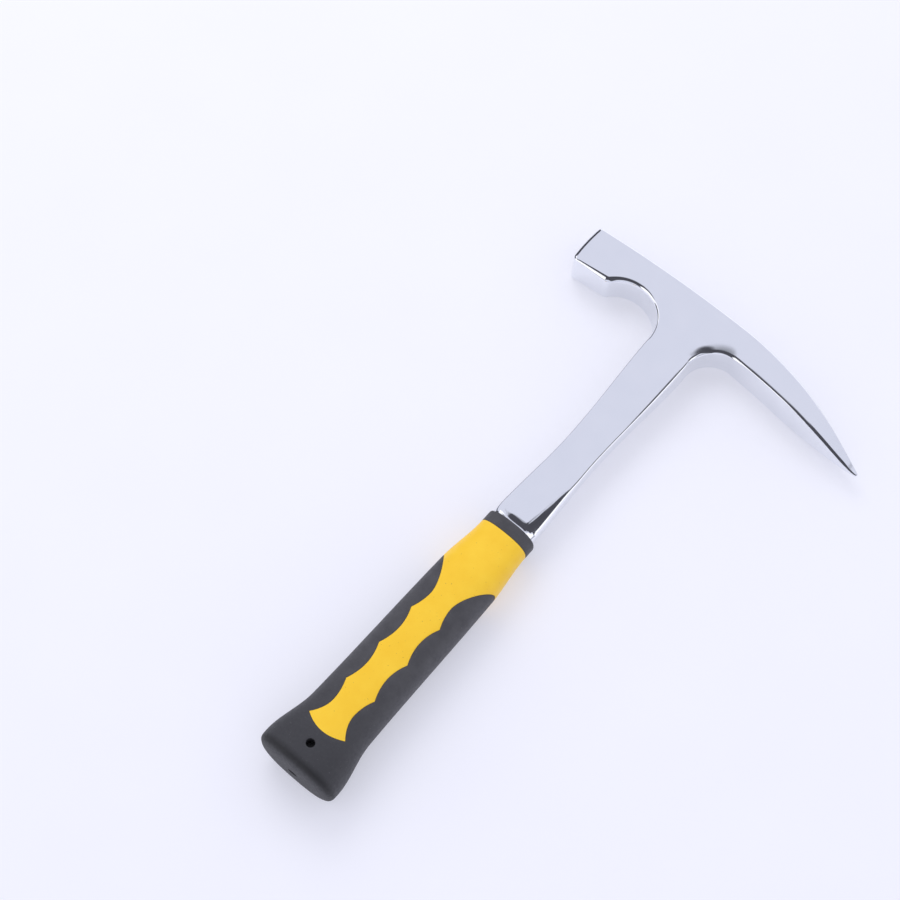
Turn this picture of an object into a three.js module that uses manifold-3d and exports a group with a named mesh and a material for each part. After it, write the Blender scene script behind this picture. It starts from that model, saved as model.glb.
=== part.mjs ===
// One-piece forged rock hammer with a pointed pick and a two-colour moulded grip.
// Millimetres, +Z up. The hammer lies on its side: +X is the pick, +Y is the head end.
// Everything is drawn about the shank's axis with Y = 0 at the butt end, and the whole
// group is moved at the end so that its origin is the middle of its base.
import * as THREE from 'three';
import * as BufferGeometryUtils from 'three/addons/utils/BufferGeometryUtils.js';
import Module from 'manifold-3d';

const wasm = await Module();
wasm.setup();

// ---- Driving dimensions -------------------------------------------------------------

const gap = 0.3;                    // clearance between touching pieces
const gripFacets = 40;              // facets around the grip's section
const steelFacets = 24;             // facets around the shank's section

const gripLength = 157;             // butt end to the collar
const gripSquareness = 2.5;         // exponent of the grip's section: 2 is an ellipse
const buttRounding = 7;             // length over which the butt end rounds off
const buttRoundness = 4.5;          // exponent of that rounding
const buttHalfWidth = 23;
const buttHalfThickness = 17;
const buttFlare = 28;               // length over which the butt flares out of the grip
const palmHalfWidth = 18.4;
const palmHalfThickness = 15.1;
const fingerHalfWidth = 16.8;       // grip where it starts to narrow to the collar
const fingerHalfThickness = 13.3;
const throatWall = 2.2;             // grip around the shank, at the collar
const throatTaper = 28;             // length over which the grip narrows to that

const collarHeight = 7;
const collarInset = 0.2;            // the ring is this much smaller than the moulding
const collarRounding = 1.4;

const shankLength = 136;            // collar to the level of the poll's notch
const shankCollarHalfWidth = 12.3;
const shankWaistHalfWidth = 10;
const shankHeadHalfWidth = 12.4;
const shankCollarHalfThickness = 8.4;
const shankWaistHalfThickness = 6.3;
const shankWaistShare = 0.4;        // waist's place along the shank, from the collar

const headThickness = 21;
const crownHeight = 26;             // crown above the level of the poll's notch
const crownRadius = 785;
const throatDepth = 17.4;           // steel between the crown and the hollows under it
const pollReach = 72.4;             // shank axis to striking face
const pollDroop = 1.1;              // the underside falls this much from notch to face
const pollHollowRadius = 20;
const faceChamfer = 1.3;
const pickReach = 114;              // shank axis to the point
const pickDrop = 23.7;              // point below the crown
const pickHollowRadius = 16.8;
const pickTaper = 51;               // length over which the pick thins to its point
const pointHalfThickness = 0.8;

const tangHalfWidth = 8.5;
const tangHalfThickness = 4;
const tangStop = 30;                // butt end to the tang's end
const tangShoulder = 18;            // length over which the shank narrows to the tang

const coverThickness = 2.8;         // soft cover over the hard core
const coreStop = 18.3;              // butt end to the hard core's end
const pinHoleDiameter = 4.5;
const pinHoleDepth = 9;
const pinHoleAt = 13.6;             // from the butt end
const dimpleHalfLength = 2.6;       // gate mark in the middle of the butt end
const dimpleHalfHeight = 1.1;
const dimpleDepth = 1;

const stripeEndAt = 25.3;           // the hard stripe's corners, from the butt end
const stripeEndHalfWidth = 11.4;
const stripeEndBulge = 3.7;
const stripeNeckHalfWidth = 6.4;    // between two facing lobes
const stripeCuspHalfWidth = 9.1;    // at the points between lobes
const lobeCount = 4;
const lastLobeStretch = 0.475;      // the last lobe is longer by this share of a pitch
const bandLength = 25;              // plain band from the side panels' tips to the collar

// ---- Levels along the handle ----------------------------------------------------------

const collarBase = gripLength + gap;
const collarTop = collarBase + collarHeight;
const notchLevel = collarTop + shankLength;
const crown = notchLevel + crownHeight;
const hollowTop = crown - throatDepth;
const headHalf = headThickness / 2;
const throatHalfWidth = shankCollarHalfWidth + throatWall;
const throatHalfThickness = shankCollarHalfThickness + throatWall;
const panelTipAt = gripLength - bandLength;
const lobePitch = (panelTipAt - stripeEndAt) / (lobeCount + lastLobeStretch);

// ---- Helpers ---------------------------------------------------------------------------

// A closed three.js geometry as a solid that can be joined and cut.
function solidOf(geometry) {
  const bare = geometry.index ? geometry.toNonIndexed() : geometry.clone();
  bare.deleteAttribute('normal');
  bare.deleteAttribute('uv');
  const merged = BufferGeometryUtils.mergeVertices(bare, 1e-4);
  return new wasm.Manifold(new wasm.Mesh({
    numProp: 3,
    vertProperties: new Float32Array(merged.attributes.position.array),
    triVerts: new Uint32Array(merged.index.array),
  }));
}

function geometryOf(solid) {
  const mesh = solid.getMesh();
  const geometry = new THREE.BufferGeometry();
  geometry.setAttribute('position', new THREE.BufferAttribute(mesh.vertProperties, 3));
  geometry.setIndex(new THREE.BufferAttribute(mesh.triVerts, 1));
  return geometry;
}

// A smooth function through [place, value] stations that never overshoots them.
function curveThrough(stations) {
  const slope = stations.map(([place, value], i) => {
    if (i === 0 || i === stations.length - 1) return 0;
    const [beforePlace, beforeValue] = stations[i - 1];
    const [afterPlace, afterValue] = stations[i + 1];
    const before = (value - beforeValue) / (place - beforePlace);
    const after = (afterValue - value) / (afterPlace - place);
    return before * after <= 0 ? 0 : (2 * before * after) / (before + after);
  });
  return (at) => {
    if (at <= stations[0][0]) return stations[0][1];
    const i = stations.findIndex(([place]) => at <= place);
    if (i < 0) return stations[stations.length - 1][1];
    const [start, low] = stations[i - 1];
    const [end, high] = stations[i];
    const span = end - start;
    const t = (at - start) / span;
    return low * (1 + 2 * t) * (1 - t) ** 2 + slope[i - 1] * span * t * (1 - t) ** 2
      + high * t * t * (3 - 2 * t) + slope[i] * span * t * t * (t - 1);
  };
}

function evenSteps(start, end, count) {
  return Array.from({ length: count + 1 }, (_, i) => start + ((end - start) * i) / count);
}

// A body around the Y axis: a lathe with a ring at each level, pressed to the section
// (x / halfWidth)^n + (z / halfThickness)^n = 1, where n is the squareness there.
function pressedBody({ levels, halfWidth, halfThickness, squareness, facets }) {
  const geometry = new THREE.LatheGeometry([
    new THREE.Vector2(0, levels[0]),
    ...levels.map((y) => new THREE.Vector2(1, y)),
    new THREE.Vector2(0, levels[levels.length - 1]),
  ], facets);
  const position = geometry.attributes.position;
  const press = (share, n) => {
    const onAxis = Math.abs(share) < 1e-6;
    return onAxis ? 0 : Math.sign(share) * Math.abs(share) ** (2 / n);
  };
  for (let i = 0; i < position.count; i += 1) {
    const y = position.getY(i);
    const n = squareness(y);
    const x = halfWidth(y) * press(position.getX(i), n);
    const z = halfThickness(y) * press(position.getZ(i), n);
    position.setXYZ(i, x, y, z);
  }
  return solidOf(geometry);
}

// An outline in the X-Y plane, extruded about Z = 0.
function plate(outline, halfHeight) {
  const geometry = new THREE.ExtrudeGeometry(outline, {
    depth: 2 * halfHeight,
    curveSegments: 20,
    bevelEnabled: false,
  });
  geometry.translate(0, 0, -halfHeight);
  return solidOf(geometry);
}

// An outline in the X-Z plane, extruded from one Y level to another.
function wallAlongY(outline, start, end) {
  const geometry = new THREE.ExtrudeGeometry(outline, {
    depth: end - start,
    curveSegments: 16,
    bevelEnabled: false,
  });
  geometry.rotateX(Math.PI / 2);
  geometry.translate(0, end, 0);
  return solidOf(geometry);
}

// An outline in the Y-Z plane, extruded both ways along X.
function wallAlongX(outline, halfSpan) {
  const geometry = new THREE.ExtrudeGeometry(outline, {
    depth: 2 * halfSpan,
    bevelEnabled: false,
  });
  geometry.translate(0, 0, -halfSpan);
  geometry.rotateX(Math.PI / 2);
  geometry.rotateZ(Math.PI / 2);
  return solidOf(geometry);
}

// ---- Steel forging: head, shank and hidden tang in one ------------------------------------

const pollHollow = {
  x: -shankHeadHalfWidth - pollHollowRadius,
  y: hollowTop - pollHollowRadius,
};
const pickHollow = {
  x: shankHeadHalfWidth + pickHollowRadius,
  y: hollowTop - pickHollowRadius,
};
const headLevel = Math.min(pollHollow.y, pickHollow.y) - 1;
const shankWaist = collarTop + shankLength * shankWaistShare;
const tangTop = collarBase - 4;

const steelHalfWidth = curveThrough([
  [tangTop - tangShoulder, tangHalfWidth],
  [tangTop, shankCollarHalfWidth],
  [collarTop, shankCollarHalfWidth],
  [shankWaist, shankWaistHalfWidth],
  [headLevel, shankHeadHalfWidth],
]);
const steelHalfThickness = curveThrough([
  [tangTop - tangShoulder, tangHalfThickness],
  [tangTop, shankCollarHalfThickness],
  [collarTop, shankCollarHalfThickness],
  [shankWaist - shankLength * 0.1, shankWaistHalfThickness],
  [shankWaist + shankLength * 0.15, shankWaistHalfThickness],
  [notchLevel - pollDroop - 1, headHalf],
]);
const steelSquareness = curveThrough([
  [collarTop, 3.2],
  [shankWaist, 6],
  [headLevel, 12],
]);

// The tang and shank, grown all round by a clearance.
function shankForm(clearance) {
  return pressedBody({
    levels: [
      tangStop - clearance,
      ...evenSteps(tangTop - tangShoulder, tangTop, 4),
      ...evenSteps(collarTop, headLevel, 16),
      ...evenSteps(headLevel, hollowTop - 1, 3).slice(1),
    ],
    halfWidth: (y) => steelHalfWidth(y) + clearance,
    halfThickness: (y) => steelHalfThickness(y) + clearance,
    squareness: steelSquareness,
    facets: steelFacets,
  });
}

const crownAt = (x) => crown - crownRadius + Math.sqrt(crownRadius ** 2 - x ** 2);

// The head seen from its side, from striking face to point.
function headOutline() {
  const notchAngle = Math.PI - Math.asin((notchLevel - pollHollow.y) / pollHollowRadius);
  const pickRoot = shankHeadHalfWidth + 8;
  const point = { x: pickReach, y: crown - pickDrop };
  const outline = new THREE.Shape();
  outline.moveTo(-shankHeadHalfWidth, headLevel);
  outline.absarc(pollHollow.x, pollHollow.y, pollHollowRadius, 0, notchAngle, false);
  outline.lineTo(-pollReach, notchLevel - pollDroop);
  evenSteps(-pollReach, 0, 6).forEach((x) => outline.lineTo(x, crownAt(x)));
  outline.lineTo(pickRoot, crownAt(pickRoot));
  outline.bezierCurveTo(
    pickRoot + 30, crownAt(pickRoot) - 0.4,
    point.x - 31, point.y + 12.8,
    point.x, point.y + pointHalfThickness,
  );
  outline.lineTo(point.x, point.y - pointHalfThickness);
  outline.bezierCurveTo(
    point.x - 6, point.y - 3.4,
    pickHollow.x + 34, hollowTop - 1,
    pickHollow.x + 4, hollowTop,
  );
  outline.lineTo(pickHollow.x, hollowTop);
  outline.absarc(pickHollow.x, pickHollow.y, pickHollowRadius, Math.PI / 2, Math.PI, false);
  outline.lineTo(shankHeadHalfWidth, headLevel);
  return outline;
}

// The head seen from the crown: chamfered at the face, thinning to the point.
function headPlanOutline() {
  const taperStart = pickReach - pickTaper;
  const outline = new THREE.Shape();
  outline.moveTo(-pollReach, headHalf - faceChamfer);
  outline.lineTo(-pollReach, -headHalf + faceChamfer);
  outline.lineTo(-pollReach + faceChamfer, -headHalf);
  outline.lineTo(taperStart, -headHalf);
  outline.bezierCurveTo(
    taperStart + pickTaper * 0.26, -headHalf,
    taperStart + pickTaper * 0.53, -headHalf * 0.76,
    pickReach, -pointHalfThickness,
  );
  outline.lineTo(pickReach, pointHalfThickness);
  outline.bezierCurveTo(
    taperStart + pickTaper * 0.53, headHalf * 0.76,
    taperStart + pickTaper * 0.26, headHalf,
    taperStart, headHalf,
  );
  outline.lineTo(-pollReach + faceChamfer, headHalf);
  return outline;
}

// Seen along the head: the cheeks swell from the shank's thickness to the head's.
function cheekOutline() {
  const levels = [...evenSteps(headLevel - 1, notchLevel - pollDroop - 1, 5), crown + 1];
  const upper = levels.map((y) => new THREE.Vector2(y, steelHalfThickness(y)));
  const lower = levels.map((y) => new THREE.Vector2(y, -steelHalfThickness(y)));
  return new THREE.Shape([...upper, ...lower.reverse()]);
}

function forgedHammer() {
  return plate(headOutline(), headHalf)
    .intersect(wallAlongY(headPlanOutline(), headLevel - 1, crown + 1))
    .intersect(wallAlongX(cheekOutline(), pollReach + pickReach))
    .add(shankForm(0));
}

// ---- Grip mouldings -------------------------------------------------------------------------

const gripStations = (butt, palm, finger, throat) => curveThrough([
  [buttRounding, butt],
  [buttRounding + buttFlare, palm],
  [gripLength - throatTaper, finger],
  [gripLength, throat],
]);
const gripHalfWidth = gripStations(
  buttHalfWidth,
  palmHalfWidth,
  fingerHalfWidth,
  throatHalfWidth,
);
const gripHalfThickness = gripStations(
  buttHalfThickness,
  palmHalfThickness,
  fingerHalfThickness,
  throatHalfThickness,
);

// The grip's outer form, shrunk by an inset all round and begun at a level.
function gripForm(inset, start) {
  const rounding = buttRounding - inset;
  const endShare = (y) => {
    const left = Math.min(1, Math.max(0.004, (y - start) / rounding));
    return (1 - (1 - left) ** buttRoundness) ** (1 / buttRoundness);
  };
  return pressedBody({
    levels: [
      ...[0, 0.03, 0.1, 0.22, 0.4, 0.65].map((share) => start + share * rounding),
      ...evenSteps(start + rounding, gripLength - throatTaper, 12),
      ...evenSteps(gripLength - throatTaper, gripLength, 4).slice(1),
    ],
    halfWidth: (y) => (gripHalfWidth(y) - inset) * endShare(y),
    halfThickness: (y) => (gripHalfThickness(y) - inset) * endShare(y),
    squareness: () => gripSquareness,
    facets: gripFacets,
  });
}

// Each soft lobe bulges into the hard stripe: two parabolas that meet at its deepest.
const lobes = evenSteps(0, lobeCount - 1, lobeCount - 1).map((i) => {
  const first = i === 0;
  const last = i === lobeCount - 1;
  const start = stripeEndAt + i * lobePitch;
  return {
    start,
    startHalf: first ? stripeEndHalfWidth : stripeCuspHalfWidth,
    deepest: start + lobePitch / 2,
    end: last ? panelTipAt : start + lobePitch,
    endHalf: last ? fingerHalfWidth + 1 : stripeCuspHalfWidth,
    endPower: last ? 1.6 : 2,
  };
});

function stripeHalfWidth(y) {
  const lobe = lobes.find(({ end }) => y <= end) ?? lobes[lobeCount - 1];
  if (y < lobe.deepest) {
    const share = (lobe.deepest - y) / (lobe.deepest - lobe.start);
    return stripeNeckHalfWidth + (lobe.startHalf - stripeNeckHalfWidth) * share ** 2;
  }
  const share = (y - lobe.deepest) / (lobe.end - lobe.deepest);
  return stripeNeckHalfWidth + (lobe.endHalf - stripeNeckHalfWidth) * share ** lobe.endPower;
}

// The hard moulding's pattern on the flat faces, grown outward by a clearance: a
// scalloped stripe that opens out below the collar.
function stripeOutline(clearance) {
  const stepLength = 2;
  const levels = lobes.flatMap(({ start, end }) => {
    const count = Math.round((end - start) / stepLength);
    return evenSteps(start, end, count).slice(0, -1);
  });
  const side = levels.map((y) => {
    const rise = (stripeHalfWidth(y + 0.1) - stripeHalfWidth(y - 0.1)) / 0.2;
    const grown = stripeHalfWidth(y) + clearance * Math.hypot(1, rise);
    return new THREE.Vector2(grown, y === stripeEndAt ? y - clearance : y);
  });
  const beyond = buttHalfWidth + 5;
  side.push(new THREE.Vector2(beyond, panelTipAt + beyond - fingerHalfWidth));
  side.push(new THREE.Vector2(beyond, gripLength + 1));
  const mirrored = side.map(({ x, y }) => new THREE.Vector2(-x, y)).reverse();
  const outline = new THREE.Shape([...side, ...mirrored]);
  const corner = side[0];
  outline.quadraticCurveTo(0, corner.y - 2 * stripeEndBulge, corner.x, corner.y);
  return outline;
}

function hardGrip() {
  const pattern = plate(stripeOutline(0), buttHalfThickness + 1);
  return gripForm(0, 0)
    .intersect(pattern)
    .add(gripForm(coverThickness, coreStop))
    .subtract(shankForm(gap));
}

// A blind hole from each flat face.
function pinHoles() {
  const hole = new THREE.CylinderGeometry(
    pinHoleDiameter / 2,
    pinHoleDiameter / 2,
    2 * pinHoleDepth,
    24,
  );
  hole.rotateX(Math.PI / 2);
  const at = (side) => solidOf(hole.clone().translate(0, pinHoleAt, side * buttHalfThickness));
  return at(1).add(at(-1));
}

function gateDimple() {
  const dimple = new THREE.SphereGeometry(1, 20, 10);
  dimple.scale(dimpleHalfLength, dimpleDepth, dimpleHalfHeight);
  return solidOf(dimple);
}

function softGrip() {
  return gripForm(0, 0)
    .subtract(plate(stripeOutline(gap), buttHalfThickness + 1))
    .subtract(gripForm(coverThickness - gap, coreStop - gap))
    .subtract(pinHoles())
    .subtract(gateDimple());
}

function collarRing() {
  const edgeShare = (y) => {
    const inward = THREE.MathUtils.clamp(y - collarTop + collarRounding, 0, collarRounding);
    return collarRounding - Math.sqrt(collarRounding ** 2 - inward ** 2);
  };
  const ring = pressedBody({
    levels: [
      collarBase,
      ...evenSteps(collarTop - collarRounding, collarTop, 4),
    ],
    halfWidth: (y) => throatHalfWidth - collarInset - edgeShare(y),
    halfThickness: (y) => throatHalfThickness - collarInset - edgeShare(y),
    squareness: () => gripSquareness,
    facets: gripFacets,
  });
  return ring.subtract(shankForm(gap));
}

// ---- Materials and assembly --------------------------------------------------------------------

const polishedSteel = { color: 0xcfd4de, roughness: 0.12, metalness: 1 };
const yellowPlastic = { color: 0xf8cb3a, roughness: 0.45, metalness: 0 };
const darkRubber = { color: 0x4a4a50, roughness: 0.7, metalness: 0 };

function piece(name, solid, finish) {
  const mesh = new THREE.Mesh(geometryOf(solid), new THREE.MeshStandardMaterial(finish));
  mesh.name = name;
  return mesh;
}

const group = new THREE.Group();
group.add(
  piece('forged_head_and_shank', forgedHammer(), polishedSteel),
  piece('hard_grip_core', hardGrip(), yellowPlastic),
  piece('soft_grip_cover', softGrip(), darkRubber),
  piece('collar_ring', collarRing(), darkRubber),
);
group.position.set((pollReach - pickReach) / 2, -crown / 2, buttHalfThickness);

export default group;
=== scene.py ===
import math

import bmesh
import bpy
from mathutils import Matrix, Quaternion, Vector
from mathutils.geometry import delaunay_2d_cdt


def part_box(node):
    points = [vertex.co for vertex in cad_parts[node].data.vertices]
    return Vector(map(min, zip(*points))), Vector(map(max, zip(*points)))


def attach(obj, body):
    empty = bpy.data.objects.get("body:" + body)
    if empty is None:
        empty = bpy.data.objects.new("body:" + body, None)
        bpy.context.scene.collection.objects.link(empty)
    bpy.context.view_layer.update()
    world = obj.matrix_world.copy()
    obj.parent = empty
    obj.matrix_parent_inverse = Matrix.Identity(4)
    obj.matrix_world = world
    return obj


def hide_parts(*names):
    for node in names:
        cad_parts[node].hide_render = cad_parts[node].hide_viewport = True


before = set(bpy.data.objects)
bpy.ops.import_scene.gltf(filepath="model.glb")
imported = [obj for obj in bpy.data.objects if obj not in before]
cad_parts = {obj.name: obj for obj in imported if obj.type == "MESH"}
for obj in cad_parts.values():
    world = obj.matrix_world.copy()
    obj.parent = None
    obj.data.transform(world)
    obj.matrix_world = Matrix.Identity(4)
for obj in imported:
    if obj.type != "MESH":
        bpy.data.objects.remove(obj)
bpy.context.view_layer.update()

# A one-piece rock hammer that lies on its side. Shapes are drawn in millimetres about the
# shank's axis, with +X towards the pick, Y = 0 at the butt end and Z = 0 in the middle of
# the thickness. place() turns that into the frame's metres.

MM = 0.001

collar_low, collar_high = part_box("collar_ring")
cover_low, cover_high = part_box("soft_grip_cover")
steel_low, steel_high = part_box("forged_head_and_shank")
AXIS_X = (collar_low.x + collar_high.x) / 2
BUTT_Y = cover_low.y
MIDDLE_Z = (collar_low.z + collar_high.z) / 2


def place(point):
    return Vector((AXIS_X, BUTT_Y, MIDDLE_Z)) + Vector(point) * MM


# ---- Sizes read from the frame ---------------------------------------------------------------

collar_base = (collar_low.y - BUTT_Y) / MM
collar_top = (collar_high.y - BUTT_Y) / MM
collar_half_width = (collar_high.x - collar_low.x) / 2 / MM
collar_half_thickness = (collar_high.z - collar_low.z) / 2 / MM
crown = (steel_high.y - BUTT_Y) / MM
face_x = (steel_low.x - AXIS_X) / MM
point_x = (steel_high.x - AXIS_X) / MM
head_half = (steel_high.z - steel_low.z) / 2 / MM
tang_stop = (steel_low.y - BUTT_Y) / MM
butt_half_width = (cover_high.x - cover_low.x) / 2 / MM
butt_half_thickness = (cover_high.z - cover_low.z) / 2 / MM

# ---- Other sizes, in millimetres -------------------------------------------------------------

crown_radius = 785
notch_depth = 26
hollow_depth = 17.4
notch_level = crown - notch_depth
hollow_top = crown - hollow_depth
poll_droop = 1.1
poll_hollow_radius = 20
pick_drop = 23.7
pick_hollow_radius = 16.8
pick_taper = 51
point_half_thickness = 0.8
pick_thinning = ((37, 9.2), (26, 7.2), (17, 5.0), (8, 2.6))   # back from the point, half thickness

shank_collar_half_width = 12.3
shank_waist_half_width = 10
shank_head_half_width = 12.4
shank_collar_half_thickness = 7.2
shank_waist_half_thickness = 6.3
shank_waist_share = 0.4
shank_shoulder = 30            # above the collar
shank_shoulder_half_thickness = 6.8
waist_below_share = 0.1        # the waist keeps its thickness over these shares of the shank
waist_above_share = 0.15
tang_half_width = 8.5
tang_half_thickness = 4
tang_top_half_width = 11
tang_top_half_thickness = 5.8
tang_shoulder = 18
tang_top_depth = 4             # below the collar
tang_foot_chamfer = 2

wedge_width = 8.0              # sloped facet beside the flat cheek, at the collar
wedge_length = 46
wedge_slope = 0.58
wedge_softness = 1.5
wedge_fade = 15                # the facet and the flare end evenly over these lengths
socket_fade = 10
groove_width = 3.6             # the cheek dips towards the collar
groove_slope = 0.45
flare_width = 1.0              # and rises again to meet it, sooner at its ends
flare_left = 1.8
flare_right = 6.2
flare_slope = 0.85
flare_softness = 0.5
flare_edge_width = 3           # on the poll's side the flare fades out towards the edge
flare_edge_start = 0.3
pick_side_from = -10           # features of the pick's side come in across the cheek
pick_side_blend = 8
left_edge_share = 0.35         # the shank's edges are crisper on the poll's side
left_edge_share_at_collar = 0.75
left_edge_blend = 5
face_bulge = 0.45
root_blend = 11                # soft shoulder around the root of the pick's hollow
root_dip = 1.9
root_from = 60                 # degrees round the hollow, with the lengths of its blends
root_from_blend = 45
root_to = 200
root_to_blend = 30

seam = 0.12                    # gap between neighbouring mouldings
grip_length = collar_base - seam
grip_squareness = 2.5
butt_rounding = 7
butt_roundness = 4.5
butt_flare = 28
palm_half_width = 18.4
palm_half_thickness = 15.1
finger_half_width = 16.8
finger_half_thickness = 13.3
throat_taper = 28
collar_rounding = 1.1

cover_thickness = 2.8
pin_hole_radius = 2.25
pin_hole_depth = 7
pin_hole_at = 13.6
dimple_half_length = 2.6
dimple_half_height = 1.7
dimple_depth = 3
dimple_slant_length = 0.5      # its wall leans in by these
dimple_slant_height = 0.4
dimple_lip = 0.25

stripe_end_at = 25.3
stripe_end_half_width = 11.4
stripe_end_bulge = 3.7
stripe_neck_half_width = 6.4
stripe_cusp_half_width = 9.1
lobe_count = 4
last_lobe_stretch = 0.475
band_length = 25
lip_width = 0.4                # rounded edge of each moulding along a seam
lip_drop = 0.12
stripe_flex_length = 12        # rows of the stripe bend to its rounded end over this length
core_bore_clearance = 0.2
collar_bore_clearance = 0.12

panel_tip_at = grip_length - band_length
lobe_pitch = (panel_tip_at - stripe_end_at) / (lobe_count + last_lobe_stretch)
poll_hollow = Vector((-shank_head_half_width - poll_hollow_radius, hollow_top - poll_hollow_radius))
pick_hollow = Vector((shank_head_half_width + pick_hollow_radius, hollow_top - pick_hollow_radius))
head_level = min(poll_hollow.y, pick_hollow.y) - 1
shank_length = notch_level - collar_top
shank_waist = collar_top + shank_length * shank_waist_share
tang_top = collar_base - tang_top_depth


# ---- Helpers ---------------------------------------------------------------------------------

def even_steps(start, end, count):
    return [start + (end - start) * i / count for i in range(count + 1)]


def curve_through(stations):
    """A smooth function through (place, value) stations that never overshoots them."""
    slopes = [0.0]
    for before, here, after in zip(stations, stations[1:], stations[2:]):
        rise_in = (here[1] - before[1]) / (here[0] - before[0])
        rise_out = (after[1] - here[1]) / (after[0] - here[0])
        steady = rise_in * rise_out > 0
        slopes.append(2 * rise_in * rise_out / (rise_in + rise_out) if steady else 0.0)
    slopes.append(0.0)

    def value(at):
        if at <= stations[0][0]:
            return stations[0][1]
        for i in range(1, len(stations)):
            if at <= stations[i][0]:
                (start, low), (end, high) = stations[i - 1], stations[i]
                span = end - start
                t = (at - start) / span
                return (low * (1 + 2 * t) * (1 - t) ** 2 + slopes[i - 1] * span * t * (1 - t) ** 2
                        + high * t * t * (3 - 2 * t) + slopes[i] * span * t * t * (t - 1))
        return stations[-1][1]

    return value


def smooth_share(value):
    t = min(1.0, max(0.0, value))
    return t * t * (3 - 2 * t)


class Surface:
    """A mesh put together from grids of points, joined where their edges meet."""

    def __init__(self):
        self.mesh = bmesh.new()

    def grid(self, rows, closed=False):
        made = [[self.mesh.verts.new(place(point)) for point in row] for row in rows]
        for low, high in zip(made, made[1:]):
            count = len(low)
            for i in range(count if closed else count - 1):
                j = (i + 1) % count
                self.mesh.faces.new((low[i], low[j], high[j], high[i]))

    def fan(self, ring, centre):
        hub = self.mesh.verts.new(place(centre))
        rim = [self.mesh.verts.new(place(point)) for point in ring]
        for i, corner in enumerate(rim):
            self.mesh.faces.new((corner, rim[(i + 1) % len(rim)], hub))

    def to_mesh(self, name, sharp_angle):
        bmesh.ops.remove_doubles(self.mesh, verts=self.mesh.verts, dist=2e-6)
        bmesh.ops.recalc_face_normals(self.mesh, faces=self.mesh.faces)
        data = bpy.data.meshes.new(name)
        self.mesh.to_mesh(data)
        self.mesh.free()
        data.shade_smooth()
        data.set_sharp_from_angle(angle=math.radians(sharp_angle))
        return data


def add_piece(name, data, material, node):
    data.materials.append(material)
    piece = bpy.data.objects.new(name, data)
    bpy.context.scene.collection.objects.link(piece)
    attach(piece, "root")
    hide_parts(node)
    return piece


# ---- Steel forging ---------------------------------------------------------------------------

steel_half_width = curve_through([
    (tang_top - tang_shoulder, tang_half_width),
    (tang_top, tang_top_half_width),
    (collar_top, shank_collar_half_width),
    (shank_waist, shank_waist_half_width),
    (head_level, shank_head_half_width),
])
shank_half_thickness = curve_through([
    (tang_top - tang_shoulder, tang_half_thickness),
    (tang_top, tang_top_half_thickness),
    (collar_top, shank_collar_half_thickness),
    (collar_top + shank_shoulder, shank_shoulder_half_thickness),
    (shank_waist - shank_length * waist_below_share, shank_waist_half_thickness),
    (shank_waist + shank_length * waist_above_share, shank_waist_half_thickness),
    (notch_level - poll_droop - 1, head_half),
])
pick_half_thickness = curve_through([
    (point_x - pick_taper, head_half),
    *((point_x - back, half_thickness) for back, half_thickness in pick_thinning),
    (point_x, point_half_thickness),
])
shank_edge_radius = curve_through([
    (tang_top, 2.0),
    (collar_top, 2.2),
    (collar_top + 40, 1.5),
    (shank_waist + 20, 1.3),
    (head_level, 2.0),
])


def side_edge_radius(x, y):
    if x > 0:
        return shank_edge_radius(y)
    near_collar = smooth_share((collar_top + left_edge_blend - y) / left_edge_blend)
    share = left_edge_share + (left_edge_share_at_collar - left_edge_share) * near_collar
    return shank_edge_radius(y) * share


def soft_above(value, softness=0.8):
    """Zero below nought and value above it, with a smooth bend between."""
    return (value + math.hypot(value, softness)) / 2


def steel_half_thickness(x, y):
    """Height of the upper cheek above the middle plane."""
    height = min(shank_half_thickness(y), pick_half_thickness(x))
    if y < collar_top + wedge_length:
        above_collar = max(0.0, y - collar_top)
        width = wedge_width * (1 - above_collar / wedge_length)
        from_edge = steel_half_width(y) - abs(x)
        pick_side = smooth_share((x - pick_side_from) / pick_side_blend)
        flare_end = flare_left + (flare_right - flare_left) * pick_side
        end_share = (abs(x) / steel_half_width(y)) ** (1 + 2 * pick_side)
        flare_start = flare_width + (flare_end - flare_width) * end_share
        groove_start = flare_start + groove_width
        wedge = wedge_slope * soft_above(width - from_edge, wedge_softness) * pick_side
        groove = groove_slope * soft_above(groove_start - above_collar) * pick_side
        flare = flare_slope * soft_above(flare_start - above_collar, flare_softness)
        flare *= max(pick_side, smooth_share(from_edge / flare_edge_width - flare_edge_start))
        fade = smooth_share((wedge_length - above_collar) / wedge_fade)
        fade *= smooth_share(1 - (collar_base - y) / socket_fade)
        height -= (math.hypot(wedge, groove) - flare) * fade
    elif x > 0:
        reach = math.hypot(x - pick_hollow.x, y - pick_hollow.y) - pick_hollow_radius
        turned = math.degrees(math.atan2(y - pick_hollow.y, x - pick_hollow.x)) % 360
        weight = smooth_share((turned - root_from) / root_from_blend)
        weight *= smooth_share((root_to - turned) / root_to_blend)
        height -= root_dip * max(0.0, 1 - reach / root_blend) ** 2 * weight
    return height


def crown_at(x):
    return crown - crown_radius + math.sqrt(crown_radius ** 2 - x ** 2)


def arc(centre, radius, start, end, count):
    """Points on an arc, with angles in degrees."""
    angles = [math.radians(angle) for angle in even_steps(start, end, count)]
    return [Vector((centre[0] + radius * math.cos(a), centre[1] + radius * math.sin(a)))
            for a in angles]


def bezier(a, b, c, d, count):
    return [a * (1 - t) ** 3 + b * (3 * t * (1 - t) ** 2) + c * (3 * t * t * (1 - t)) + d * t ** 3
            for t in even_steps(0, 1, count)]


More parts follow.
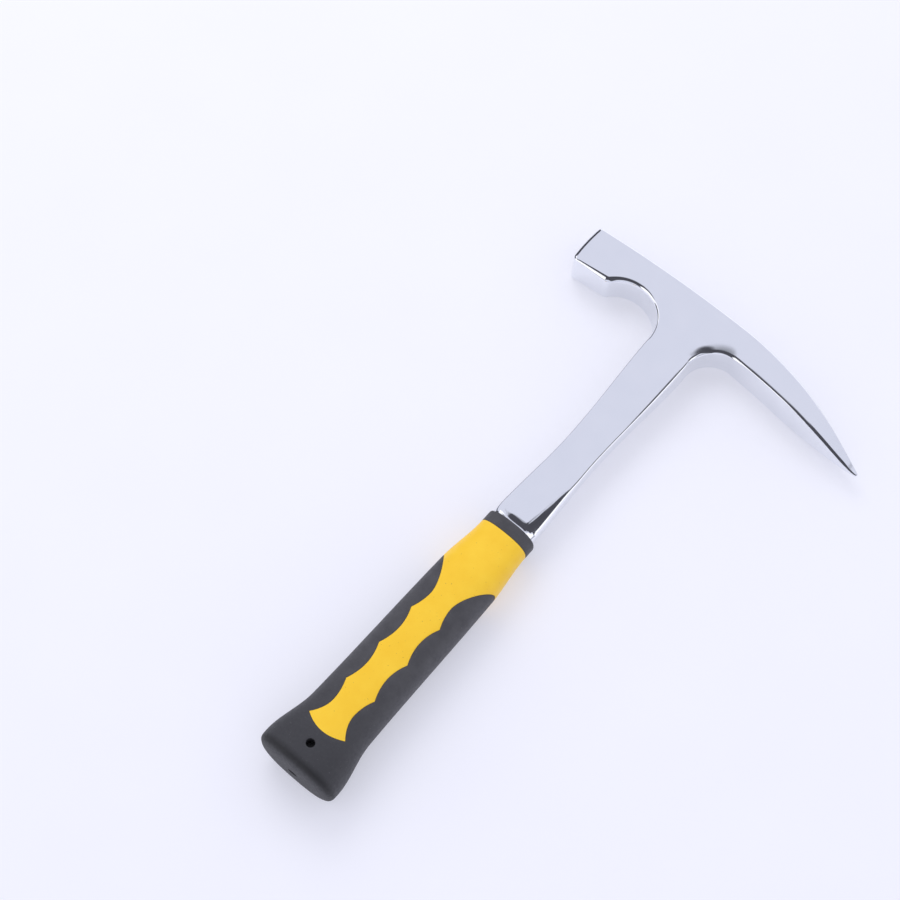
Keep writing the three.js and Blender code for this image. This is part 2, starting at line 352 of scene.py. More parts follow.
def steel_outline():
    """The forging seen from its side, anticlockwise, as pairs of a point and its edge.

    An edge is (reach in from the outline, drop below the cheek, roundness), where roundness 2
    is an arc and 1 is a straight chamfer.
    """
    tip = Vector((point_x, crown - pick_drop))
    pick_root = Vector((shank_head_half_width + 8, crown_at(shank_head_half_width + 8)))
    notch_angle = 180 - math.degrees(math.asin((notch_level - poll_hollow.y) / poll_hollow_radius))
    face_foot = notch_level - poll_droop
    top_corner = 1.4
    foot_corner = 3.0
    outline = []

    def add(points, start_edge, end_edge):
        """Points whose edge goes evenly from one to another."""
        last = len(points) - 1
        for i, point in enumerate(points):
            t = i / last
            outline.append((point, [a + (b - a) * t for a, b in zip(start_edge, end_edge)]))

    def even_edge(radius, roundness=2.0):
        return (radius, radius, roundness)

    def shank_edge(point):
        return even_edge(side_edge_radius(*point))

    tang_edge = even_edge(1.5)
    shank_levels = even_steps(collar_top, head_level, 90)
    tang_levels = even_steps(tang_top - tang_shoulder, collar_top, 14)[:-1]
    right = [Vector((steel_half_width(y), y)) for y in tang_levels + shank_levels]
    foot = [
        Vector((tang_half_width - tang_foot_chamfer, tang_stop)),
        Vector((tang_half_width, tang_stop + tang_foot_chamfer)),
        Vector((tang_half_width, (tang_stop + tang_top) / 2)),
    ]
    add(foot, tang_edge, tang_edge)
    outline += [(point, shank_edge(point)) for point in right]
    add(arc(pick_hollow, pick_hollow_radius, 180, 90, 30), even_edge(2.0), (2.0, 0.8, 1.6))
    under = bezier(
        Vector((pick_hollow.x + 4, hollow_top)),
        Vector((pick_hollow.x + 34, hollow_top - 1)),
        tip + Vector((-6, -3.4)),
        tip + Vector((-0.5, -point_half_thickness)),
        60,
    )
    near_tip = 46
    thin_edge = (1.6, 0.6, 1.5)
    add(under[:near_tip], (2.0, 0.8, 1.5), thin_edge)
    add(under[near_tip:], thin_edge, (0.5, 0.2, 1.5))
    add(arc(tip - Vector((0.5, 0)), 0.5, -60, 60, 4), even_edge(0.4), even_edge(0.4))
    back = bezier(
        tip + Vector((-0.5, point_half_thickness)),
        tip + Vector((-31, 12.8)),
        pick_root + Vector((30, -0.4)),
        pick_root,
        60,
    )
    add(back, even_edge(0.4), even_edge(0.7))
    back_xs = even_steps(pick_root.x, face_x + top_corner, 60)[1:-1]
    add([Vector((x, crown_at(x))) for x in back_xs], even_edge(0.7), even_edge(0.9))
    face_top = crown_at(face_x + top_corner)
    face_edge = (2.0, 1.15, 1.3)
    top_centre = (face_x + face_bulge + top_corner, face_top - top_corner)
    foot_centre = (face_x + face_bulge + foot_corner, face_foot + foot_corner)
    add(arc(top_centre, top_corner, 90, 175, 6), even_edge(1.0), face_edge)
    face_levels = even_steps(top_centre[1], foot_centre[1], 14)[1:-1]
    face_middle = (top_centre[1] + foot_centre[1]) / 2
    face_half = (top_centre[1] - foot_centre[1]) / 2
    add([Vector((face_x + face_bulge * ((y - face_middle) / face_half) ** 2, y))
         for y in face_levels], face_edge, face_edge)
    add(arc(foot_centre, foot_corner, 185, 270, 10), face_edge, even_edge(1.0, 1.6))
    notch_x = poll_hollow.x + poll_hollow_radius * math.cos(math.radians(notch_angle))
    under_xs = even_steps(foot_centre[0], notch_x - 1, 16)[1:]
    add([Vector((x, face_foot + poll_droop * (x - foot_centre[0]) / (notch_x - foot_centre[0])))
         for x in under_xs], even_edge(1.5, 1.6), even_edge(3.0, 1.6))
    add(arc(poll_hollow, poll_hollow_radius, notch_angle - 3, 95, 16),
        even_edge(3.2, 1.8), even_edge(2.4))
    add(arc(poll_hollow, poll_hollow_radius, 95, 60, 12)[1:], even_edge(2.4), even_edge(1.7))
    add(arc(poll_hollow, poll_hollow_radius, 60, 0, 24)[1:], even_edge(1.7), even_edge(1.1))
    left = [Vector((-point.x, point.y)) for point in reversed(right)]
    outline += [(point, shank_edge(point)) for point in left]
    add([Vector((-point.x, point.y)) for point in reversed(foot)], tang_edge, tang_edge)
    return outline


def outward_normals(points):
    count = len(points)
    normals = []
    for i in range(count):
        along = (points[(i + 1) % count] - points[i - 1]).normalized()
        normals.append(Vector((along.y, -along.x)))
    return normals


def inside(point, ring):
    hit = False
    for a, b in zip(ring, ring[1:] + ring[:1]):
        if (a.y > point.y) != (b.y > point.y):
            if point.x < a.x + (point.y - a.y) * (b.x - a.x) / (b.y - a.y):
                hit = not hit
    return hit


def cheek_normal(x, y):
    step = 0.05
    slope_x = (steel_half_thickness(x + step, y) - steel_half_thickness(x - step, y)) / (2 * step)
    slope_y = (steel_half_thickness(x, y + step) - steel_half_thickness(x, y - step)) / (2 * step)
    return Vector((-slope_x, -slope_y, 1)).normalized()


def cheek_fillers(rim):
    """Points inside the cheek's rim, closer together where its surface turns quickly."""
    facets_end = collar_top + wedge_length
    bands = (
        # from, to, spacing
        (tang_stop, collar_base, 3.0),
        (collar_base, facets_end, 1.3),
        (facets_end, head_level, 3.0),
        (head_level, crown, 2.0),
    )
    fillers = []
    for low, high, spacing in bands:
        for x in even_steps(face_x, point_x, round((point_x - face_x) / spacing)):
            for y in even_steps(low, high, round((high - low) / spacing))[1:]:
                spot = Vector((x, y))
                if inside(spot, rim) and min((spot - edge).length for edge in rim) > spacing / 2:
                    fillers.append(spot)
    return fillers


def forging_mesh():
    """Rounded edges and walls follow the outline, and a triangulated cheek closes each side."""
    outline = steel_outline()
    points = [point for point, edge in outline]
    outward = outward_normals(points)
    count = len(points)
    turns = 8
    rows = []
    for turn in range(turns + 1):
        tilt = math.pi / 2 * (1 - turn / turns)
        row = []
        across, up = max(0.0, math.cos(tilt)), math.sin(tilt)
        for (point, (reach, drop, roundness)), out in zip(outline, outward):
            centre = point - out * reach
            flat = centre + out * (reach * across ** (2 / roundness))
            height = steel_half_thickness(*centre) - drop * (1 - up ** (2 / roundness))
            lean = 2 - 2 / roundness
            outwards = across ** lean / reach if across > 1e-6 else 0
            upwards = up ** lean / drop if up > 1e-6 else 0
            normal = Vector((out.x, out.y, 0)) * outwards + cheek_normal(*centre) * upwards
            row.append(((flat.x, flat.y, height), normal.normalized()))
        rows.append(row)
    rim = [Vector(position[:2]) for position, normal in rows[0]]
    cut = delaunay_2d_cdt(rim + cheek_fillers(rim), [], [list(range(count))], 1, 1e-6)
    cheek_points, _, cheek_faces, source = cut[:4]

    vertices = []
    normals = []
    faces = []

    def vertex(position, normal):
        vertices.append(place(position))
        normals.append(normal)
        return len(vertices) - 1

    rings = []
    for side in (1, -1):
        side_rings = []
        for row in rows:
            side_rings.append([
                vertex((x, y, side * z), Vector((normal.x, normal.y, side * normal.z)))
                for (x, y, z), normal in row
            ])
        rings.append(side_rings)
        index_of = []
        for point, origins in zip(cheek_points, source):
            if origins and origins[0] < count:
                index_of.append(side_rings[0][origins[0]])
            else:
                normal = cheek_normal(*point)
                height = steel_half_thickness(*point)
                index_of.append(vertex(
                    (point.x, point.y, side * height),
                    Vector((normal.x, normal.y, side * normal.z)),
                ))
        for corners in cheek_faces:
            order = corners if side > 0 else reversed(corners)
            faces.append([index_of[i] for i in order])
    upper, lower = rings
    loops = upper + lower[::-1]
    for high, low in zip(loops, loops[1:]):
        for i in range(count):
            j = (i + 1) % count
            faces.append((high[i], low[i], low[j], high[j]))
    data = bpy.data.meshes.new("polished_forging")
    data.from_pydata(vertices, [], faces)
    data.shade_smooth()
    data.normals_split_custom_set_from_vertices(normals)
    return data


# ---- Grip form -------------------------------------------------------------------------------

throat_half_width = collar_half_width
throat_half_thickness = collar_half_thickness


def grip_stations(butt, palm, finger, throat):
    return curve_through([
        (butt_rounding, butt),
        (butt_rounding + butt_flare, palm),
        (grip_length - throat_taper, finger),
        (grip_length, throat),
    ])


grip_half_width = grip_stations(
    butt_half_width, palm_half_width, finger_half_width, throat_half_width)
grip_half_thickness = grip_stations(
    butt_half_thickness, palm_half_thickness, finger_half_thickness, throat_half_thickness)


def pressed(value, power):
    return math.copysign(abs(value) ** power, value) if abs(value) > 1e-9 else 0.0


def skin(angle, y, inset=0.0):
    """A point of the grip's surface, at an angle turned from +X towards +Z."""
    power = 2 / grip_squareness
    return (
        (grip_half_width(y) - inset) * pressed(math.cos(angle), power),
        y,
        (grip_half_thickness(y) - inset) * pressed(math.sin(angle), power),
    )


def angle_at(x, y):
    share = min(1.0, max(0.0, x / grip_half_width(y)))
    return math.acos(share ** (grip_squareness / 2))


def skin_above(x, y):
    share = min(1.0, abs(x) / grip_half_width(y))
    height = (1 - share ** grip_squareness) ** (1 / grip_squareness)
    return (x, y, grip_half_thickness(y) * height)


def lobe_at(y):
    index = int(min(lobe_count - 1, max(0, (y - stripe_end_at) // lobe_pitch)))
    start = stripe_end_at + index * lobe_pitch
    return index, start


def stripe_half_width(y):
    """Two parabolas to each lobe, which meet where it reaches deepest into the stripe."""
    index, start = lobe_at(y)
    deepest = start + lobe_pitch / 2
    last = index == lobe_count - 1
    if y < deepest:
        edge = stripe_end_half_width if index == 0 else stripe_cusp_half_width
        share = (deepest - y) / (deepest - start)
        return stripe_neck_half_width + (edge - stripe_neck_half_width) * share ** 2
    edge = finger_half_width + 1 if last else stripe_cusp_half_width
    end = panel_tip_at if last else start + lobe_pitch
    share = (y - deepest) / (end - deepest)
    power = 1.6 if last else 2
    return stripe_neck_half_width + (edge - stripe_neck_half_width) * share ** power


def stripe_slope(y):
    return (stripe_half_width(y + 0.05) - stripe_half_width(y - 0.05)) / 0.1


def boundary_angle(y, clearance):
    """Where the seam crosses the ring at y, moved into the soft panel by a clearance."""
    grown = stripe_half_width(y) + clearance * math.hypot(1, stripe_slope(y))
    return angle_at(grown, y)


def tip_level(clearance):
    """Where the seams of both faces meet at the side."""
    low, high = stripe_end_at + lobe_count * lobe_pitch, grip_length
    for _ in range(40):
        middle = (low + high) / 2
        if boundary_angle(middle, clearance) > 1e-4:
            low = middle
        else:
            high = middle
    return high


def panel_levels(clearance):
    """Ring levels from the stripe's end to the panel's tip, closer together at the tip."""
    levels = []
    for lobe in range(lobe_count - 1):
        start = stripe_end_at + lobe * lobe_pitch
        levels += even_steps(start, start + lobe_pitch, 14)[:-1]
    start = stripe_end_at + (lobe_count - 1) * lobe_pitch
    tip = tip_level(clearance)
    levels += [start + (tip - start) * (1 - (1 - t) ** 1.7) for t in even_steps(0, 1, 26)]
    return levels


def lip_angle(edge, y):
    """The turn that spans a lip's width, on a ring at y."""
    step = 0.01
    x0, _, z0 = skin(edge, y)
    x1, _, z1 = skin(edge + step, y)
    speed = math.hypot(x1 - x0, z1 - z0) / step
    return lip_width * math.hypot(1, stripe_slope(y)) / speed


SIDE_COLUMNS = 10
STRIPE_COLUMNS = 12


def side_angles(edge, y):
    lip = min(lip_angle(edge, y), 0.4 * edge)
    return even_steps(0, edge - lip, SIDE_COLUMNS - 1) + [edge]


def stripe_angles(edge, y):
    lip = min(lip_angle(edge, y), 0.3)
    return [edge] + even_steps(edge + lip, math.pi / 2, STRIPE_COLUMNS - 1)


def mirrored_x(row):
    return [(-x, y, z) for x, y, z in row]


def mirrored_z(row):
    return [(x, y, -z) for x, y, z in row]


def whole_ring(quarter):
    """A quarter ring, from +X to +Z, mirrored round to a whole one."""
    half = quarter + mirrored_x(quarter[-2::-1])
    return half + mirrored_z(half[-2:0:-1])


def end_arc(x, y, half_width=stripe_end_half_width):
    """The stripe's rounded end bulges towards the butt, and meets its edges at their own level."""
    share = min(1.0, abs(x) / half_width)
    return y - stripe_end_bulge * (1 - share * share)


def shrunk(ring, centre, share):
    middle = Vector(centre)
    return [tuple(Vector(point).lerp(middle, share)) for point in ring]


# ---- Hard yellow core ------------------------------------------------------------------------

def in_steel(x, y, z):
    """Whether a point lies in the shank or tang, with the pick's side mirrored to the poll's.

    The poll's side is thicker near the collar, so there the steel reaches past this test.
    """
    half_width = steel_half_width(y)
    radius = side_edge_radius(x, y)
    into_edge = abs(x) - (half_width - radius)
    if into_edge > radius:
        return False
    height = steel_half_thickness(min(abs(x), half_width - radius), y)
    if into_edge > 0:
        height += math.sqrt(radius ** 2 - into_edge ** 2) - radius
    return abs(z) < height


def bore_ring(y, count, clearance):
    """A ring just outside in_steel(), with as many points as the ring that it is joined to."""
    ring = []
    for angle in even_steps(0, 2 * math.pi, count)[:-1]:
        x, z = math.cos(angle) * 2.2, math.sin(angle)
        near, far = 0.0, 20.0
        for _ in range(30):
            middle = (near + far) / 2
            if in_steel(x * middle, y, z * middle):
                near = middle
            else:
                far = middle
        reach = near + clearance / math.hypot(x, z)
        ring.append((x * reach, y, z * reach))
    return ring


def hard_core_mesh():
    surface = Surface()
    levels = panel_levels(0)
    tip = levels[-1]
    band = even_steps(tip, grip_length, 16)[1:]

    def stripe_row(y, drop):
        """The stripe's top half ring; near its end the rows bend to the end arc."""
        edge = boundary_angle(y, 0) if y < tip else 0
        flex = smooth_share(1 - (y - stripe_end_at) / stripe_flex_length)
        row_half_width = skin(edge, y)[0]
        quarter = []
        for i, angle in enumerate(stripe_angles(edge, y)):
            x, _, _ = skin(angle, y)
            level = y + (end_arc(x, y, row_half_width) - y) * flex
            on_lip = i == 0 and y < tip
            quarter.append(skin(angle_at(x, level) if i else angle, level,
                                lip_drop if on_lip else drop))
        return quarter + mirrored_x(quarter[-2::-1])

    first = stripe_row(stripe_end_at, lip_drop)
    rows = [first] + [stripe_row(y, 0) for y in levels[1:] + band]
    for turn in (lambda row: row, mirrored_z):
        surface.grid([turn(row) for row in rows])

    def recess_row(y):
        """At the tip this starts lip_drop below the stripe's row, which leaves a small hole."""
        edge = boundary_angle(y, 0) if y < tip else 0
        wall = [skin(edge, y, inset) for inset in even_steps(lip_drop, cover_thickness, 3)]
        floor = [skin(angle, y, cover_thickness) for angle in even_steps(edge, 0, SIDE_COLUMNS)]
        half = wall + floor[1:]
        return half + mirrored_z(half[-2::-1])

    recess = [recess_row(y) for y in levels]
    for turn in (lambda row: row, mirrored_x):
        surface.grid([turn(row) for row in recess])

    start_ring = first + mirrored_x(recess[0])[1:] + mirrored_z(first)[::-1][1:]
    start_ring += recess[0][::-1][1:-1]
    centre = (0, stripe_end_at + 2, 0)
    surface.grid([shrunk(start_ring, centre, share) for share in (0, 0.08, 0.3, 0.6)], closed=True)
    surface.fan(shrunk(start_ring, centre, 0.6), centre)

    top_ring = rows[-1] + mirrored_z(rows[-1])[-2:0:-1]
    count = len(top_ring)
    bore_levels = [grip_length, tang_top, tang_top - 6, tang_top - 12, tang_top - tang_shoulder,
                   tang_stop - 0.5]
    bore = [bore_ring(y, count, core_bore_clearance) for y in bore_levels]
    surface.grid([top_ring] + bore, closed=True)
    surface.fan(bore[-1], (0, tang_stop - 0.5, 0))
    return surface.to_mesh("yellow_hard_grip", 38)


# ---- Soft grey cover -------------------------------------------------------------------------

def butt_end_rings(edge_angles):
    """The butt's near-flat end, from the gate dimple out to full size."""
    power = 2 / butt_roundness
    quarters = []

    def ring(half_width, half_thickness, y):
        squareness = 2 / grip_squareness
        return [(half_width * pressed(math.cos(a), squareness), y,
                 half_thickness * pressed(math.sin(a), squareness)) for a in edge_angles]

    foot_half_length = dimple_half_length - dimple_slant_length
    foot_half_height = dimple_half_height - dimple_slant_height
    quarters.append(ring(foot_half_length, foot_half_height, dimple_depth))
    quarters.append(ring(dimple_half_length, dimple_half_height, dimple_lip))
    quarters.append(ring(dimple_half_length + dimple_lip, dimple_half_height + dimple_lip, 0.03))
    for turn in even_steps(0.12, math.pi / 2, 22):
        share = math.sin(turn) ** power
        level = butt_rounding * (1 - math.cos(turn) ** power)
        quarters.append(ring(butt_half_width * share, butt_half_thickness * share, level))
    return [whole_ring(quarter) for quarter in quarters]


def pin_hole_patch(surface, block):
    """Rings from a block of grid cells in to a round hole, and the hole's wall and floor."""
    rows = len(block)
    border = block[0][:]
    border += [block[i][-1] for i in range(1, rows)]
    border += block[-1][-2::-1]
    border += [block[i][0] for i in range(rows - 2, 0, -1)]

    def towards_circle(share, radius, sink):
        ring = []
        for x, y, z in border:
            angle = math.atan2(y - pin_hole_at, x)
            cx = radius * math.cos(angle)
            cy = pin_hole_at + radius * math.sin(angle)
            px, py, pz = skin_above(x + (cx - x) * share, y + (cy - y) * share)
            ring.append((px, py, pz - sink))
        return ring

    rings = [border]
    rings += [towards_circle(share, pin_hole_radius + 0.3, 0) for share in (0.4, 0.75, 1)]
    rings.append(towards_circle(1, pin_hole_radius + 0.08, 0.08))
    rings += [towards_circle(1, pin_hole_radius, sink) for sink in (0.35, pin_hole_depth)]
    centre = (0, pin_hole_at, butt_half_thickness - pin_hole_depth)
    for turn in (lambda row: row, mirrored_z):
        surface.grid([turn(ring) for ring in rings], closed=True)
        surface.fan(turn(rings[-1]), turn([centre])[0])


def soft_cover_mesh():
    surface = Surface()
    levels = panel_levels(seam)
    tip = levels[-1]
    start = stripe_end_at
    inner = cover_thickness - seam
    butt_rows = 20
    hole_rows = (3, 15)
    hole_columns = 7

    def quarter_angles(y):
        edge = boundary_angle(start, seam) if y <= butt_rounding else angle_at(
            stripe_end_half_width + seam * math.hypot(1, stripe_slope(start)), y)
        return side_angles(edge, start) + stripe_angles(edge, start)[1:]

    end_rings = butt_end_rings(quarter_angles(butt_rounding))
    surface.grid(end_rings, closed=True)
    surface.fan(end_rings[0], (0, dimple_depth, 0))

    quarters = []
    for row, y in enumerate(even_steps(butt_rounding, start, butt_rows)):
        flex = smooth_share(row / butt_rows)
        quarter = []
        for i, angle in enumerate(quarter_angles(y)):
            x, _, _ = skin(angle, y)
            on_stripe = i > SIDE_COLUMNS
            level = y
            if on_stripe:
                level = y + (end_arc(x, y) - seam - y) * flex
            on_seam = row == butt_rows and i >= SIDE_COLUMNS
            drop = lip_drop if on_seam else 0
            quarter.append(skin(angle_at(x, level) if on_stripe else angle, level, drop))
        quarters.append(quarter)
    rings = [whole_ring(quarter) for quarter in quarters]
    half_count = 2 * len(quarters[0]) - 1
    first_hole = len(quarters[0]) - 1 - hole_columns
    last_hole = len(quarters[0]) - 1 + hole_columns
    low_row, high_row = hole_rows
    surface.grid(rings[:low_row + 1], closed=True)
    surface.grid(rings[high_row:], closed=True)
    middle = [ring[:half_count] for ring in rings[low_row:high_row + 1]]
    for turn in (lambda row: row, mirrored_z):
        surface.grid([turn(row[:first_hole + 1]) for row in middle])
        surface.grid([turn(row[last_hole:]) for row in middle])
    pin_hole_patch(surface, [row[first_hole:last_hole + 1] for row in middle])

    def panel_edge(y):
        return boundary_angle(y, seam) if y < tip else 0

    def outer_row(y):
        edge = panel_edge(y)
        angles = side_angles(edge, y)
        half = [skin(angle, y, lip_drop if angle == edge else 0) for angle in angles]
        return mirrored_z(half[::-1])[:-1] + half

    def inner_row(y):
        edge = panel_edge(y)
        wall = [skin(edge, y, inset) for inset in even_steps(lip_drop, inner, 3)]
        floor = [skin(angle, y, inner) for angle in even_steps(edge, 0, SIDE_COLUMNS)]
        half = wall + floor[1:]
        return half + mirrored_z(half[-2::-1])

    outer = [outer_row(y) for y in levels]
    back = [inner_row(y) for y in levels]
    for turn in (lambda row: row, mirrored_x):
        surface.grid([turn(row) for row in outer])
        surface.grid([turn(row) for row in back])

    stripe = quarters[-1][SIDE_COLUMNS:]
    stripe = stripe + mirrored_x(stripe[-2::-1])
    cavity = stripe + mirrored_x(back[0])[1:] + mirrored_z(stripe)[::-1][1:]
    cavity += back[0][::-1][1:-1]
    centre = (0, start + 2 - seam, 0)
    surface.grid([shrunk(cavity, centre, share) for share in (0, 0.08, 0.3, 0.6)], closed=True)
    surface.fan(shrunk(cavity, centre, 0.6), centre)
    return surface.to_mesh("grey_soft_cover", 38)


# ---- Collar ring -----------------------------------------------------------------------------

def collar_mesh():
    surface = Surface()
    count = 96
    squareness = 2 / grip_squareness

    def ring(y, inset):
        return [((collar_half_width - inset) * pressed(math.cos(a), squareness), y,
                 (collar_half_thickness - inset) * pressed(math.sin(a), squareness))
                for a in even_steps(0, 2 * math.pi, count)[:-1]]

    rings = [ring(collar_base, 0.35), ring(collar_base + 0.12, 0.1), ring(collar_base + 0.4, 0)]
    rings += [ring(y, 0) for y in even_steps(collar_base + 1, collar_top - collar_rounding, 6)]
    for turn in even_steps(0, math.pi / 2, 6)[1:]:
        rings.append(ring(collar_top - collar_rounding * (1 - math.sin(turn)),
                          collar_rounding * (1 - math.cos(turn))))
    bore_levels = even_steps(collar_top, collar_base, 3)
    bore = [bore_ring(y, count, collar_bore_clearance) for y in bore_levels]
    surface.grid(rings + bore + rings[:1], closed=True)
    return surface.to_mesh("grey_collar", 38)


# ---- Materials -------------------------------------------------------------------------------

class Recipe:
    """A material's node tree, with short ways to add the nodes used here."""

    def __init__(self, name):
        self.material = bpy.data.materials.new(name)
        self.material.use_nodes = True
        self.nodes = self.material.node_tree.nodes
        self.links = self.material.node_tree.links
        self.shader = self.nodes["Principled BSDF"]
        self.place = self.nodes.new("ShaderNodeTexCoord").outputs["Object"]

    def noise(self, size_mm, detail=3.0, stretch=(1, 1, 1)):
        """Noise whose features are about size_mm across."""
        mapping = self.nodes.new("ShaderNodeMapping")
        mapping.inputs["Scale"].default_value = stretch
        self.links.new(self.place, mapping.inputs["Vector"])
        texture = self.nodes.new("ShaderNodeTexNoise")
        texture.inputs["Scale"].default_value = 1 / (size_mm * MM)
        texture.inputs["Detail"].default_value = detail
        self.links.new(mapping.outputs["Vector"], texture.inputs["Vector"])
        return texture.outputs["Fac"]

    def ranged(self, value, low, high, to_low, to_high):
        node = self.nodes.new("ShaderNodeMapRange")
        for key, number in (("From Min", low), ("From Max", high),
                            ("To Min", to_low), ("To Max", to_high)):
            node.inputs[key].default_value = number
        self.links.new(value, node.inputs["Value"])
        return node.outputs["Result"]

    def mixed(self, share, low, high):
        node = self.nodes.new("ShaderNodeMix")
        node.data_type = "RGBA"
        for key, colour in (("A", low), ("B", high)):
            socket = next(s for s in node.inputs if s.name == key and s.type == "RGBA")
            if isinstance(colour, tuple):
                socket.default_value = (*colour, 1)
            else:
                self.links.new(colour, socket)
        self.links.new(share, node.inputs["Factor"])
        return next(s for s in node.outputs if s.type == "RGBA")

    def along_shank(self, start, end):
        """A share that rises from 0 to 1 between two levels, in millimetres from the butt."""
        split = self.nodes.new("ShaderNodeSeparateXYZ")
        self.links.new(self.place, split.inputs["Vector"])
        start_y, end_y = place((0, start, 0)).y, place((0, end, 0)).y
        return self.ranged(split.outputs["Y"], start_y, end_y, 0, 1)

    def bumped(self, height, depth_mm, before=None):
        node = self.nodes.new("ShaderNodeBump")
        node.inputs["Distance"].default_value = depth_mm * MM
        self.links.new(height, node.inputs["Height"])
        if before is not None:
            self.links.new(before, node.inputs["Normal"])
        return node.outputs["Normal"]

    def join(self, **sockets):
        for key, output in sockets.items():
            self.links.new(output, self.shader.inputs[key.replace("_", " ")])


def polished_steel():
    recipe = Recipe("polished_steel")
    recipe.shader.inputs["Metallic"].default_value = 1
    cloud = recipe.noise(14)
    tone = recipe.mixed(cloud, (0.84, 0.86, 0.90), (0.90, 0.91, 0.94))
    haze = recipe.ranged(recipe.noise(5), 0.35, 0.7, 0.07, 0.13)
    marks = recipe.noise(0.35, 2, (0.12, 1, 1))
    grain = recipe.bumped(marks, 0.004)
    recipe.join(Base_Color=tone, Roughness=haze, Normal=grain)
    return recipe.material


def yellow_plastic():
    recipe = Recipe("yellow_plastic")
    cloud = recipe.ranged(recipe.noise(9), 0.3, 0.7, 0, 1)
    tone = recipe.mixed(cloud, (0.925, 0.56, 0.015), (0.955, 0.605, 0.025))
    specks = recipe.ranged(recipe.noise(1.1, 1), 0.74, 0.78, 0, 0.6)
    tone = recipe.mixed(specks, tone, (0.45, 0.27, 0.03))
    sheen = recipe.ranged(recipe.noise(2.5), 0.3, 0.7, 0.38, 0.5)
    normal = recipe.bumped(recipe.noise(0.5), 0.03)
    normal = recipe.bumped(recipe.noise(6, 1), 0.15, normal)
    recipe.join(Base_Color=tone, Roughness=sheen, Normal=normal)
    return recipe.material


def dark_rubber():
    recipe = Recipe("dark_rubber")
    cloud = recipe.ranged(recipe.noise(7), 0.3, 0.7, 0, 1)
    tone = recipe.mixed(cloud, (0.054, 0.053, 0.060), (0.072, 0.071, 0.078))
    # Painted shade: the rubber is darker towards the butt, fading out between 16 and 60 mm from its
    # end.
    butt_painted_shade = (0.041, 0.041, 0.047)
    tone = recipe.mixed(recipe.along_shank(16, 60), butt_painted_shade, tone)
    dust = recipe.ranged(recipe.noise(0.9, 2), 0.68, 0.76, 0, 0.25)
    tone = recipe.mixed(dust, tone, (0.2, 0.2, 0.21))
    # Painted shade: a dark band round the butt's rounded edge, fading out by 6.5 mm from the end,
    # and a darker end face.
    end_face_painted_shade = (0.032, 0.032, 0.036)
    edge_painted_shade = (0.018, 0.018, 0.021)
    tone = recipe.mixed(recipe.along_shank(3.4, 6.5), edge_painted_shade, tone)
    tone = recipe.mixed(recipe.along_shank(0.8, 2.0), end_face_painted_shade, tone)
    sheen = recipe.ranged(recipe.noise(1.6), 0.3, 0.7, 0.52, 0.68)
    normal = recipe.bumped(recipe.noise(0.35, 2), 0.05)
    recipe.join(Base_Color=tone, Roughness=sheen, Normal=normal)
    return recipe.material


# ---- Floor, light and camera -----------------------------------------------------------------

def add_floor():
    """A pale floor that touches the butt and the head of the hammer laid on it. It glows faintly, a
    painted glow that lightens the shadows cast on it.
    """
    butt_contact = (butt_rounding + 6, -butt_half_thickness)
    head_contact = (crown - 12, -head_half)
    rise = (head_contact[1] - butt_contact[1]) / (head_contact[0] - butt_contact[0])
    data = bpy.data.meshes.new("floor")
    reach = 2000
    corners = []
    for x, y in ((-reach, -reach), (reach, -reach), (reach, reach), (-reach, reach)):
        corners.append(place((x, y, butt_contact[1] + rise * (y - butt_contact[0]) - 0.1)))
    data.from_pydata(corners, [], [(0, 1, 2, 3)])
    recipe = Recipe("pale_glowing_floor")
    tone = recipe.mixed(recipe.noise(60), (0.54, 0.54, 0.59), (0.56, 0.56, 0.60))
    recipe.shader.inputs["Roughness"].default_value = 0.75
    recipe.shader.inputs["Specular IOR Level"].default_value = 0.1
    # Painted light: the floor's own glow lifts the shadows on it and lights the hammer from below.
    recipe.shader.inputs["Emission Color"].default_value = (0.9, 0.91, 1.0, 1)
    recipe.shader.inputs["Emission Strength"].default_value = 0.385
    recipe.join(Base_Color=tone)
    data.materials.append(recipe.material)
    floor = bpy.data.objects.new("floor", data)
    bpy.context.scene.collection.objects.link(floor)


